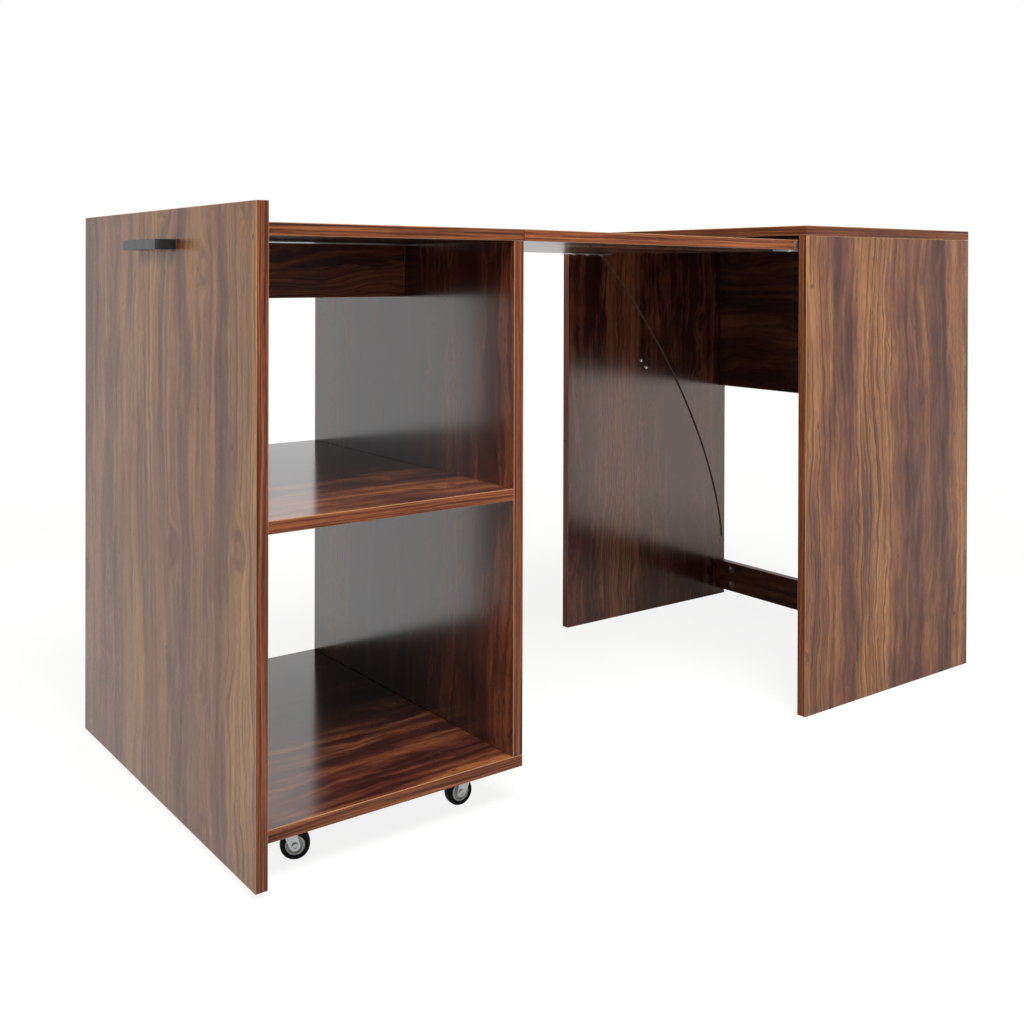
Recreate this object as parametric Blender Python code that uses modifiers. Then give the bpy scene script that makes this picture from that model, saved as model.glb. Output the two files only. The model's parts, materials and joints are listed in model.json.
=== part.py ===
"""Pull-out computer desk: a fixed carcass, a rolling shelf cabinet and a folding desk board.

Desk coordinates are used throughout: X runs from the pulled-out cabinet towards the carcass's back and is
zero at the carcass's front edges, Y is zero at the near side panel's outer face, and Z is zero on the
floor. The root empty then puts the origin under the middle of the open desk. Lengths are in metres.
"""

import math

import bmesh
import bpy

# Driving dimensions: boards and fits
BOARD_T = 0.015
FIT_GAP = 0.0003
EDGE_ROUND = 0.0007

# Driving dimensions: fixed carcass
FRAME_W = 0.584
FRAME_D = 0.429
FRAME_H = 0.750
MODESTY_H = 0.295
RAIL_H = 0.059
RAIL_FLOOR_GAP = 0.012
CAM_R = 0.0075
CAM_T = 0.012
CAM_INSET = 0.034
CAM_SPACING = 0.032
CAM_BOLT_R = 0.003
CAM_BOLT_BITE = 0.010
PANEL_SCREW_X = 0.195
PANEL_SCREW_Z = 0.4955
PANEL_SCREW_SPACING = 0.020
PANEL_SCREW_HEAD_R = 0.004
PANEL_SCREW_HEAD_T = 0.0012
PANEL_SCREW_R = 0.0016
PANEL_SCREW_BITE = 0.009
PANEL_SCREW_CROWN_R = 0.0032
PANEL_SCREW_RIM_T = 0.00072

# Driving dimensions: rolling cabinet
DESK_SPAN = 0.526
FOLD_SPACE = 0.054
SIDE_CLEAR = 0.004
TOP_CLEAR = 0.0024
STOP_GAP = 0.0005
FASCIA_FLOOR_GAP = 0.008
FASCIA_RISE = 0.005
CABINET_DEPTH = 0.540
LOWER_BAY_H = 0.325
APRON_H = 0.074
APRON_TOP_GAP = 0.0015

# Driving dimensions: handle
HANDLE_L = 0.122
HANDLE_H = 0.0125
HANDLE_STANDOFF = 0.025
HANDLE_BAR_T = 0.008
HANDLE_LEG_T = 0.010
HANDLE_DROP = 0.044
HANDLE_CORNER_R = 0.004
HANDLE_SCREW_R = 0.002
HANDLE_SCREW_HEAD_R = 0.004
HANDLE_SCREW_HEAD_T = 0.002
HANDLE_SCREW_BITE = 0.010
HANDLE_SCREW_CROWN_R = 0.0028
HANDLE_SCREW_RIM_T = 0.001

# Driving dimensions: hinges between the cabinet and the desk board
HINGE_OFFSET = 0.003
HINGE_L = 0.050
HINGE_COUNT = 3
KNUCKLES = 3
HINGE_END_INSET = 0.080
LEAF_W = 0.022
LEAF_T = 0.0012
KNUCKLE_R = 0.0025
HINGE_PIN_R = 0.0011
KNUCKLE_GAP = 0.0004

# Driving dimensions: folding desk board, its corner brackets and guide pins
BOARD_DROOP = math.radians(0.5)
SEAM_GAP = 0.0008
PIN_REACH = 0.072
BOARD_TAIL = 0.014
PIN_R = 0.002
PIN_BITE = 0.006
PIN_SEAT = 0.012
PIN_CHAMFER = 0.0006
PIN_COLLAR_R = 0.004
PIN_COLLAR_T = 0.0009
PIN_BACK_MARGIN = 0.009
GROOVE_CLEAR = 0.0004
GROOVE_DEPTH = 0.008
BRACKET_T = 0.0015
BRACKET_LEAF_L = 0.102
BRACKET_LEAF_W = 0.030
BRACKET_FLANGE_L = 0.090
BRACKET_TAIL_GAP = 0.004
BRACKET_TOP_GAP = 0.002

# Driving dimensions: casters
CASTER_H = 0.049
CASTER_X_INSET = 0.056
CASTER_Y_INSET = 0.0495
CASTER_TRAIL = 0.009
PLATE_W = 0.040
PLATE_T = 0.0017
CUP_R = 0.012
CUP_H = 0.0035
FORK_TOP_R = 0.0125
FORK_TOP_T = 0.0030
FORK_T = 0.0014
FORK_END_R = 0.0062
FORK_LEG_SLANT = 22.0
KINGPIN_R = 0.003
WHEEL_R = 0.0175
WHEEL_W = 0.014
WHEEL_SIDE_GAP = 0.0008
HUB_R = 0.0112
HUB_BOSS_R = 0.0050
HUB_RIM_T = 0.0022
HUB_WEB_HALF_T = 0.0035
TYRE_ROUND = 0.003
AXLE_R = 0.0025
AXLE_HEAD_R = 0.0042
AXLE_HEAD_T = 0.0014
AXLE_CROWN_R = 0.00336
AXLE_CROWN_T = 0.00056

# Turn of each caster about its kingpin as the desk stands, with the wheel trailing along +X at zero
CASTER_YAWS = {
    "near_outer": math.radians(-26.0),
    "near_inner": math.radians(175.0),
    "far_outer": math.radians(14.0),
    "far_inner": math.radians(168.0),
}

# Facets of round pieces
ROUND_STEPS = 24
SMALL_STEPS = 12
ARC_STEPS = 4
GROOVE_STEPS = 40
SHOULDER_STEPS = 3

# Modelling tolerances
MERGE_DISTANCE = 0.00001
BEVEL_ANGLE = math.radians(40.0)
SMOOTH_ANGLE = math.radians(35.0)
EMPTY_SIZE = 0.03

# Positions that follow from the driving dimensions
CABINET_LEN = FRAME_D - BOARD_T - FOLD_SPACE
PULL_OUT = DESK_SPAN + CABINET_LEN
TRAVEL = PULL_OUT - STOP_GAP
FIXED_TOP_UNDER_Z = FRAME_H - BOARD_T
CABINET_Y0 = BOARD_T + SIDE_CLEAR
CABINET_Y1 = CABINET_Y0 + CABINET_DEPTH
CABINET_TOP_Z = FIXED_TOP_UNDER_Z - TOP_CLEAR
CABINET_TOP_UNDER_Z = CABINET_TOP_Z - BOARD_T
CABINET_FLOOR_Z = CASTER_H + BOARD_T
SHELF_UNDER_Z = CABINET_FLOOR_Z + LOWER_BAY_H
FASCIA_TOP_Z = FRAME_H + FASCIA_RISE
HANDLE_Z = FASCIA_TOP_Z - HANDLE_DROP
HANDLE_LEG_SPACING = HANDLE_L - HANDLE_LEG_T
BOARD_Y0 = BOARD_T + SIDE_CLEAR
BOARD_Y1 = FRAME_W - BOARD_T - SIDE_CLEAR
HINGE_Z = CABINET_TOP_UNDER_Z - HINGE_OFFSET
PIN_U = DESK_SPAN - HINGE_OFFSET + PIN_REACH
PIN_W = HINGE_OFFSET + BOARD_T / 2
BOARD_END_U = PIN_U + BOARD_TAIL
OPEN_X0 = -(PULL_OUT + BOARD_T + HANDLE_STANDOFF)
ROOT_X = -(OPEN_X0 + FRAME_D) / 2
ROOT_Y = -FRAME_W / 2

# Finishes: linear base colour, roughness, metallic
FINISHES = {
    "walnut": ((0.130, 0.062, 0.034), 0.35, 0.0),
    "zinc": ((0.62, 0.62, 0.60), 0.35, 1.0),
    "black_metal": ((0.012, 0.012, 0.013), 0.40, 0.6),
    "rubber": ((0.012, 0.012, 0.012), 0.70, 0.0),
    "grey_plastic": ((0.45, 0.46, 0.46), 0.45, 0.0),
    "white_cap": ((0.80, 0.80, 0.78), 0.45, 0.0),
}

AXIS_ROTATION = {
    "X": (0.0, math.pi / 2, 0.0),
    "Y": (-math.pi / 2, 0.0, 0.0),
    "Z": (0.0, 0.0, 0.0),
}


def clear_scene():
    for obj in list(bpy.data.objects):
        bpy.data.objects.remove(obj, do_unlink=True)


def make_collection(name):
    collection = bpy.data.collections.new(name)
    bpy.context.scene.collection.children.link(collection)
    return collection


clear_scene()
PARTS = make_collection("pull_out_computer_desk")
CUTTERS = make_collection("cutters")


def finish_material(name, finish):
    colour, roughness, metallic = FINISHES[finish]
    material = bpy.data.materials.new(name + "_finish")
    material.use_nodes = True
    shader = material.node_tree.nodes["Principled BSDF"]
    shader.inputs["Base Color"].default_value = (*colour, 1.0)
    shader.inputs["Roughness"].default_value = roughness
    shader.inputs["Metallic"].default_value = metallic
    return material


def place(name, mesh, parent, location=(0.0, 0.0, 0.0), rotation=(0.0, 0.0, 0.0), finish=None):
    """Links a mesh as a part with its finish, or as a hidden cutter when it has none."""
    obj = bpy.data.objects.new(name, mesh)
    obj.parent = parent
    obj.location = location
    obj.rotation_euler = rotation
    if finish is None:
        CUTTERS.objects.link(obj)
        obj.hide_render = True
        obj.display_type = "WIRE"
    else:
        PARTS.objects.link(obj)
        mesh.materials.append(finish_material(name, finish))
    return obj


def add_empty(name, parent=None, location=(0.0, 0.0, 0.0), rotation=(0.0, 0.0, 0.0)):
    empty = bpy.data.objects.new(name, None)
    empty.parent = parent
    empty.location = location
    empty.rotation_euler = rotation
    empty.empty_display_size = EMPTY_SIZE
    PARTS.objects.link(empty)
    return empty


def round_edges(obj, width=EDGE_ROUND, segments=2):
    bevel = obj.modifiers.new("rounded_edges", "BEVEL")
    bevel.width = width
    bevel.segments = segments
    bevel.limit_method = "ANGLE"
    bevel.angle_limit = BEVEL_ANGLE


def smooth(mesh):
    mesh.shade_smooth()
    mesh.set_sharp_from_angle(angle=SMOOTH_ANGLE)


def add_box(name, low, high, parent, finish=None, edge=None):
    """A box between two corners, in its parent's coordinates."""
    mesh = bpy.data.meshes.new(name)
    bm = bmesh.new()
    bmesh.ops.create_cube(bm, size=1.0)
    size = [b - a for a, b in zip(low, high)]
    bmesh.ops.scale(bm, vec=size, verts=bm.verts)
    bm.to_mesh(mesh)
    bm.free()
    centre = [(a + b) / 2 for a, b in zip(low, high)]
    obj = place(name, mesh, parent, centre, finish=finish)
    if edge:
        round_edges(obj, edge)
    return obj


def add_board(name, low, high, parent):
    """A laminated board with slightly rounded edges."""
    return add_box(name, low, high, parent, "walnut", EDGE_ROUND)


def add_rod(name, radius, start, length, axis, parent, finish=None, steps=SMALL_STEPS):
    """A cylinder that runs from its start point along +X, +Y or +Z."""
    mesh = bpy.data.meshes.new(name)
    bm = bmesh.new()
    bmesh.ops.create_cone(bm, cap_ends=True, segments=steps, radius1=radius, radius2=radius, depth=length)
    bmesh.ops.translate(bm, vec=(0.0, 0.0, length / 2), verts=bm.verts)
    bm.to_mesh(mesh)
    bm.free()
    smooth(mesh)
    return place(name, mesh, parent, start, AXIS_ROTATION[axis], finish)


def add_turned(name, profile, location, axis, parent, finish=None, closed=False, steps=ROUND_STEPS):
    """A profile of (radius, height) points, listed down its outer side, turned about an axis."""
    mesh = bpy.data.meshes.new(name)
    edges = [(i, i + 1) for i in range(len(profile) - 1)]
    if closed:
        edges.append((len(profile) - 1, 0))
    mesh.from_pydata([(r, 0.0, h) for r, h in profile], edges, [])
    obj = place(name, mesh, parent, location, AXIS_ROTATION[axis], finish)
    screw = obj.modifiers.new("turned", "SCREW")
    screw.axis = "Z"
    screw.angle = 2 * math.pi
    screw.steps = steps
    screw.render_steps = steps
    screw.use_merge_vertices = True
    screw.merge_threshold = MERGE_DISTANCE
    screw.use_smooth_shade = True
    return obj


def arc(centre, radius, start, end, steps=ARC_STEPS):
    """Points of an arc between two angles in degrees."""
    points = []
    for i in range(steps + 1):
        angle = math.radians(start + (end - start) * i / steps)
        points.append((centre[0] + radius * math.cos(angle), centre[1] + radius * math.sin(angle)))
    return points


def add_prism(name, outline, thickness, location, parent, finish=None, upright=False):
    """A flat outline with a thickness; an upright one stands in the XZ plane with its thickness along Y."""
    curve = bpy.data.curves.new(name + "_outline", "CURVE")
    curve.dimensions = "2D"
    curve.fill_mode = "BOTH"
    curve.extrude = thickness / 2
    spline = curve.splines.new("POLY")
    spline.points.add(len(outline) - 1)
    for point, (x, y) in zip(spline.points, outline):
        point.co = (x, y, 0.0, 1.0)
    spline.use_cyclic_u = True
    sketch = bpy.data.objects.new(name + "_outline", curve)
    CUTTERS.objects.link(sketch)
    evaluated = sketch.evaluated_get(bpy.context.evaluated_depsgraph_get())
    mesh = bpy.data.meshes.new_from_object(evaluated)
    bpy.data.objects.remove(sketch, do_unlink=True)
    bm = bmesh.new()
    bm.from_mesh(mesh)
    bmesh.ops.remove_doubles(bm, verts=bm.verts, dist=MERGE_DISTANCE)
    bmesh.ops.recalc_face_normals(bm, faces=bm.faces)
    bm.to_mesh(mesh)
    bm.free()
    mesh.name = name
    mesh.materials.clear()
    rotation = (math.pi / 2, 0.0, 0.0) if upright else (0.0, 0.0, 0.0)
    return place(name, mesh, parent, location, rotation, finish)


def combine(obj, other, operation):
    boolean = obj.modifiers.new(operation.lower() + "_" + other.name, "BOOLEAN")
    boolean.operation = operation
    boolean.solver = "EXACT"
    boolean.object = other


def cut(obj, cutter):
    combine(obj, cutter, "DIFFERENCE")


def unite(obj, other):
    combine(obj, other, "UNION")


def pin_point(slide):
    """Desk X and Z of a guide pin when the cabinet has moved in by the given distance."""
    angle = BOARD_DROOP + FOLD_RATIO * slide
    hinge_x = -DESK_SPAN + HINGE_OFFSET + slide
    x = hinge_x + PIN_U * math.cos(angle) + PIN_W * math.sin(angle)
    z = HINGE_Z - PIN_U * math.sin(angle) + PIN_W * math.cos(angle)
    return x, z


def fold_angle():
    """Turn of the desk board from the open desk until its pins reach the back of their grooves."""
    hinge_x = -DESK_SPAN + HINGE_OFFSET + TRAVEL
    reach = FRAME_D - PIN_BACK_MARGIN - hinge_x
    arm = math.hypot(PIN_U, PIN_W)
    return math.atan2(PIN_W, PIN_U) + math.acos(reach / arm) - BOARD_DROOP


FOLD_RANGE = fold_angle()
FOLD_RATIO = FOLD_RANGE / TRAVEL


def groove_outline():
    """Outline of the guide groove: the pins' path widened by the pin and its clearance."""
    half = PIN_R + GROOVE_CLEAR
    path = [pin_point(TRAVEL * i / GROOVE_STEPS) for i in range(GROOVE_STEPS + 1)]
    headings = []
    for i in range(len(path)):
        x0, z0 = path[max(i - 1, 0)]
        x1, z1 = path[min(i + 1, len(path) - 1)]
        headings.append(math.degrees(math.atan2(z1 - z0, x1 - x0)))
    left = [arc(p, half, a + 90.0, a + 90.0, 1)[0] for p, a in zip(path, headings)]
    right = [arc(p, half, a - 90.0, a - 90.0, 1)[0] for p, a in zip(path, headings)]
    far_end = arc(path[-1], half, headings[-1] + 90.0, headings[-1] - 90.0)[1:-1]
    near_end = arc(path[0], half, headings[0] - 90.0, headings[0] - 270.0)[1:-1]
    return left + far_end + right[::-1] + near_end


# Empties that carry the moving groups, each on its joint's axis
ROOT = add_empty("desk_origin", None, (ROOT_X, ROOT_Y, 0.0))
CABINET = add_empty("cabinet_slide_axis", ROOT, (-PULL_OUT, 0.0, 0.0))
FOLD = add_empty(
    "board_fold_axis",
    CABINET,
    (CABINET_LEN + HINGE_OFFSET, 0.0, HINGE_Z),
    (0.0, BOARD_DROOP, 0.0),
)


def build_carcass():
    """Two grooved side panels under a top, tied by an upper rear panel and a low rear rail."""
    panel_top = FIXED_TOP_UNDER_Z - FIT_GAP
    inner_y0 = BOARD_T
    inner_y1 = FRAME_W - BOARD_T
    back_x = FRAME_D - BOARD_T
    tie_y0 = inner_y0 + FIT_GAP
    tie_y1 = inner_y1 - FIT_GAP
    modesty_z = FIXED_TOP_UNDER_Z - MODESTY_H
    rail_top = RAIL_FLOOR_GAP + RAIL_H
    near = add_board("near_side_panel", (0.0, 0.0, 0.0), (FRAME_D, inner_y0, panel_top), ROOT)
    far = add_board("far_side_panel", (0.0, inner_y1, 0.0), (FRAME_D, FRAME_W, panel_top), ROOT)
    add_board("fixed_top", (0.0, 0.0, FIXED_TOP_UNDER_Z), (FRAME_D, FRAME_W, FRAME_H), ROOT)
    add_board("modesty_panel", (back_x, tie_y0, modesty_z), (FRAME_D, tie_y1, panel_top), ROOT)
    rail = add_board("rear_rail", (back_x, tie_y0, RAIL_FLOOR_GAP), (FRAME_D, tie_y1, rail_top), ROOT)
    outline = groove_outline()
    for name, panel, face_y in (("near", near, inner_y0), ("far", far, inner_y1)):
        at = (0.0, face_y, 0.0)
        groove = add_prism(name + "_groove_cut", outline, 2 * GROOVE_DEPTH, at, ROOT, upright=True)
        cut(panel, groove)
    build_rail_fittings(rail, near, far)
    build_panel_screws(far)


def build_rail_fittings(rail, near, far):
    """Cam locks in the rear rail's face and the bolts that tie them to the side panels."""
    back_x = FRAME_D - BOARD_T
    bolt_x = back_x + CAM_T / 2
    rail_mid_z = RAIL_FLOOR_GAP + RAIL_H / 2
    bolt_l = CAM_BOLT_BITE + CAM_INSET - FIT_GAP
    hole_l = bolt_l + 2 * FIT_GAP
    pocket_r = CAM_R + FIT_GAP
    pocket_l = 2 * CAM_T + FIT_GAP
    hole_r = CAM_BOLT_R + FIT_GAP
    sides = (("near", near, BOARD_T, 1.0), ("far", far, FRAME_W - BOARD_T, -1.0))
    levels = (("lower", rail_mid_z - CAM_SPACING / 2), ("upper", rail_mid_z + CAM_SPACING / 2))
    for side, panel, face_y, inward in sides:
        cam_y = face_y + inward * CAM_INSET
        bolt_end_y = face_y - inward * CAM_BOLT_BITE
        bolt_y0 = min(bolt_end_y, bolt_end_y + inward * bolt_l)
        for level, z in levels:
            name = side + "_" + level
            cam_at = (back_x, cam_y, z)
            pocket_at = (back_x - CAM_T, cam_y, z)
            hole_at = (bolt_x, bolt_y0 - FIT_GAP, z)
            cam = add_rod("cam_lock_" + name, CAM_R, cam_at, CAM_T, "X", ROOT, "zinc", ROUND_STEPS)
            pocket_name = "cam_pocket_" + name
            pocket = add_rod(pocket_name, pocket_r, pocket_at, pocket_l, "X", ROOT, steps=ROUND_STEPS)
            cut(rail, pocket)
            add_rod("cam_bolt_" + name, CAM_BOLT_R, (bolt_x, bolt_y0, z), bolt_l, "Y", ROOT, "zinc")
            hole = add_rod("cam_bolt_hole_" + name, hole_r, hole_at, hole_l, "Y", ROOT)
            cut(rail, hole)
            cut(panel, hole)
            cut(cam, hole)


def build_panel_screws(panel):
    """Two low screws, side by side on a diagonal, in the far side panel's inner face."""
    face_y = FRAME_W - BOARD_T
    step = PANEL_SCREW_SPACING / 2 * math.sqrt(0.5)
    seat = FIT_GAP
    for level, sign in (("upper", 1.0), ("lower", -1.0)):
        place_at = (PANEL_SCREW_X - sign * step, face_y, PANEL_SCREW_Z + sign * step)
        profile = [
            (0.0, PANEL_SCREW_BITE),
            (PANEL_SCREW_R, PANEL_SCREW_BITE),
            (PANEL_SCREW_R, -seat),
            (PANEL_SCREW_HEAD_R, -seat),
            (PANEL_SCREW_HEAD_R, -PANEL_SCREW_RIM_T),
            (PANEL_SCREW_CROWN_R, -PANEL_SCREW_HEAD_T),
            (0.0, -PANEL_SCREW_HEAD_T),
        ]
        add_turned("panel_screw_" + level, profile, place_at, "Y", ROOT, "white_cap", steps=SMALL_STEPS)
        hole_start = (place_at[0], face_y - PANEL_SCREW_BITE, place_at[2])
        hole_l = 2 * PANEL_SCREW_BITE + FIT_GAP
        hole = add_rod("panel_screw_hole_" + level, PANEL_SCREW_R + FIT_GAP, hole_start, hole_l, "Y", ROOT)
        cut(panel, hole)


def build_cabinet():
    """Open shelf box hung on the fascia, in the coordinates of the sliding cabinet."""
    x0 = FIT_GAP
    x1 = CABINET_LEN
    inner_x1 = CABINET_LEN - BOARD_T - FIT_GAP
    y0, y1 = CABINET_Y0, CABINET_Y1
    fascia = add_board("fascia", (-BOARD_T, 0.0, FASCIA_FLOOR_GAP), (0.0, FRAME_W, FASCIA_TOP_Z), CABINET)
    boards = {
        "cabinet_top": ((x0, y0, CABINET_TOP_UNDER_Z), (x1, y1, CABINET_TOP_Z)),
        "cabinet_bottom": ((x0, y0, CASTER_H), (x1, y1, CABINET_FLOOR_Z)),
        "cabinet_shelf": ((x0, y0, SHELF_UNDER_Z), (inner_x1, y1, SHELF_UNDER_Z + BOARD_T)),
        "cabinet_end_panel": (
            (CABINET_LEN - BOARD_T, y0, CABINET_FLOOR_Z + FIT_GAP),
            (x1, y1, CABINET_TOP_UNDER_Z - FIT_GAP),
        ),
    }
    for name, (low, high) in boards.items():
        add_board(name, low, high, CABINET)
    apron_top = CABINET_TOP_UNDER_Z - APRON_TOP_GAP
    apron_y = (y0 + y1 - BOARD_T) / 2
    apron_low = (x0, apron_y, apron_top - APRON_H)
    add_board("cabinet_apron", apron_low, (inner_x1, apron_y + BOARD_T, apron_top), CABINET)
    build_handle(fascia)


def build_handle(fascia):
    """Square U handle on the fascia's outer face, held by a screw in each leg."""
    seat_x = -BOARD_T - FIT_GAP
    outer_x = -BOARD_T - HANDLE_STANDOFF
    inner_x = outer_x + HANDLE_BAR_T
    half = HANDLE_L / 2
    inner_half = half - HANDLE_LEG_T
    round_r = HANDLE_CORNER_R
    outline = [(seat_x, half), (seat_x, inner_half), (inner_x, inner_half), (inner_x, -inner_half)]
    outline += [(seat_x, -inner_half), (seat_x, -half)]
    outline += arc((outer_x + round_r, -half + round_r), round_r, 270.0, 180.0)
    outline += arc((outer_x + round_r, half - round_r), round_r, 180.0, 90.0)
    handle = add_prism("handle", outline, HANDLE_H, (0.0, FRAME_W / 2, HANDLE_Z), CABINET, "black_metal")
    round_edges(handle)
    shank = BOARD_T + FIT_GAP + HANDLE_SCREW_BITE
    profile = [
        (0.0, HANDLE_SCREW_HEAD_T),
        (HANDLE_SCREW_CROWN_R, HANDLE_SCREW_HEAD_T),
        (HANDLE_SCREW_HEAD_R, HANDLE_SCREW_RIM_T),
        (HANDLE_SCREW_HEAD_R, FIT_GAP),
        (HANDLE_SCREW_R, FIT_GAP),
        (HANDLE_SCREW_R, -shank),
        (0.0, -shank),
    ]
    for side, sign in (("near", -1.0), ("far", 1.0)):
        y = FRAME_W / 2 + sign * HANDLE_LEG_SPACING / 2
        add_turned(
            "handle_screw_" + side, profile, (0.0, y, HANDLE_Z), "X", CABINET, "zinc", steps=SMALL_STEPS
        )
        hole_start = (-shank - FIT_GAP, y, HANDLE_Z)
        hole = add_rod(
            "handle_screw_hole_" + side, HANDLE_SCREW_R + FIT_GAP, hole_start, 2 * shank, "X", CABINET
        )
        cut(fascia, hole)
        cut(handle, hole)


def build_desk_board():
    """Desk board with a steel bracket and a guide pin at each rear corner, on the fold axis."""
    low = (-HINGE_OFFSET + SEAM_GAP, BOARD_Y0, HINGE_OFFSET)
    high = (BOARD_END_U, BOARD_Y1, HINGE_OFFSET + BOARD_T)
    board = add_board("desk_board", low, high, FOLD)
    for side, edge_y, outward in (("near", BOARD_Y0, -1.0), ("far", BOARD_Y1, 1.0)):
        build_bracket(board, side, edge_y, outward)


def build_bracket(board, side, edge_y, outward):
    """Angle bracket under a rear corner of the board, and the pin that runs in the side panel's groove."""
    end_u = BOARD_END_U - BRACKET_TAIL_GAP
    leaf_top = HINGE_OFFSET - FIT_GAP
    face_y = edge_y + outward * FIT_GAP
    outer_y = face_y + outward * BRACKET_T
    inner_y = edge_y - outward * BRACKET_LEAF_W
    bracket = add_box(
        "board_bracket_" + side,
        (end_u - BRACKET_LEAF_L, min(inner_y, outer_y), leaf_top - BRACKET_T),
        (end_u, max(inner_y, outer_y), leaf_top),
        FOLD,
        "zinc",
    )
    flange = add_box(
        "bracket_flange_" + side,
        (end_u - BRACKET_FLANGE_L, min(face_y, outer_y), leaf_top - BRACKET_T),
        (end_u, max(face_y, outer_y), HINGE_OFFSET + BOARD_T - BRACKET_TOP_GAP),
        FOLD,
    )
    unite(bracket, flange)
    tip = SIDE_CLEAR + PIN_BITE
    seat = FIT_GAP + BRACKET_T
    collar = seat + FIT_GAP
    profile = [
        (0.0, tip),
        (PIN_R - PIN_CHAMFER, tip),
        (PIN_R, tip - PIN_CHAMFER),
        (PIN_R, collar + PIN_COLLAR_T),
        (PIN_COLLAR_R, collar + PIN_COLLAR_T),
        (PIN_COLLAR_R, collar),
        (PIN_R, collar),
        (PIN_R, -PIN_SEAT),
        (0.0, -PIN_SEAT),
    ]
    if outward < 0:
        profile = [(r, -h) for r, h in reversed(profile)]
    add_turned("guide_pin_" + side, profile, (PIN_U, edge_y, PIN_W), "Y", FOLD, "zinc", steps=SMALL_STEPS)
    hole_l = 2 * (PIN_SEAT + FIT_GAP)
    hole_start = (PIN_U, edge_y - hole_l / 2, PIN_W)
    hole = add_rod("guide_pin_hole_" + side, PIN_R + FIT_GAP, hole_start, hole_l, "Y", FOLD)
    cut(board, hole)
    cut(bracket, hole)


def hinge_centres():
    """Y of each hinge's middle, spread evenly over the cabinet's depth."""
    first = CABINET_Y0 + HINGE_END_INSET
    last = CABINET_Y1 - HINGE_END_INSET
    return [first + (last - first) * i / (HINGE_COUNT - 1) for i in range(HINGE_COUNT)]


def build_hinges():
    """Butt hinges: a leaf with two knuckles on the cabinet, one with a single knuckle on the board, a pin."""
    bore_r = HINGE_PIN_R + FIT_GAP
    knuckle_l = (HINGE_L - (KNUCKLES - 1) * KNUCKLE_GAP) / KNUCKLES
    face = HINGE_OFFSET - FIT_GAP
    axis_x = CABINET_LEN + HINGE_OFFSET
    for number, y in enumerate(hinge_centres(), start=1):
        y0, y1 = y - HINGE_L / 2, y + HINGE_L / 2
        mid0, mid1 = y - knuckle_l / 2, y + knuckle_l / 2
        bore = add_rod(f"hinge_bore_{number}", bore_r, (0.0, y0 - HINGE_L, 0.0), 3 * HINGE_L, "Y", FOLD)

        leaf_low = (HINGE_OFFSET, y0, face - LEAF_T)
        tab_low = (0.0, mid0, face - LEAF_T)
        knuckle_at = (0.0, mid0, 0.0)
        board_leaf = add_box(f"hinge_board_leaf_{number}", leaf_low, (LEAF_W, y1, face), FOLD, "zinc")
        tab = add_box(f"hinge_board_tab_{number}", tab_low, (2 * HINGE_OFFSET, mid1, face), FOLD)
        knuckle = add_rod(f"hinge_board_knuckle_{number}", KNUCKLE_R, knuckle_at, knuckle_l, "Y", FOLD)
        unite(board_leaf, tab)
        unite(board_leaf, knuckle)
        cut(board_leaf, bore)

        leaf_x0, leaf_x1 = axis_x - face, axis_x - face + LEAF_T
        fixed_leaf = add_box(
            f"hinge_fixed_leaf_{number}",
            (leaf_x0, y0, HINGE_Z - LEAF_W),
            (leaf_x1, y1, HINGE_Z - HINGE_OFFSET),
            CABINET,
            "zinc",
        )
        for end, tab0, tab1 in (("near", y0, mid0 - KNUCKLE_GAP), ("far", mid1 + KNUCKLE_GAP, y1)):
            low = (leaf_x0, tab0, HINGE_Z - 2 * HINGE_OFFSET)
            tab = add_box(f"hinge_{end}_tab_{number}", low, (leaf_x1, tab1, HINGE_Z), CABINET)
            start = (axis_x, tab0, HINGE_Z)
            knuckle = add_rod(f"hinge_{end}_knuckle_{number}", KNUCKLE_R, start, tab1 - tab0, "Y", CABINET)
            unite(fixed_leaf, tab)
            unite(fixed_leaf, knuckle)
        cut(fixed_leaf, bore)
        add_rod(f"hinge_pin_{number}", HINGE_PIN_R, (axis_x, y0, HINGE_Z), HINGE_L, "Y", CABINET, "zinc")


def caster_places():
    """Name and cabinet position of each caster's kingpin: outer is the fascia's end, inner the desk's."""
    columns = (("outer", CASTER_X_INSET), ("inner", CABINET_LEN - CASTER_X_INSET))
    rows = (("near", CABINET_Y0 + CASTER_Y_INSET), ("far", CABINET_Y1 - CASTER_Y_INSET))
    return [(row + "_" + column, x, y) for row, y in rows for column, x in columns]


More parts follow.
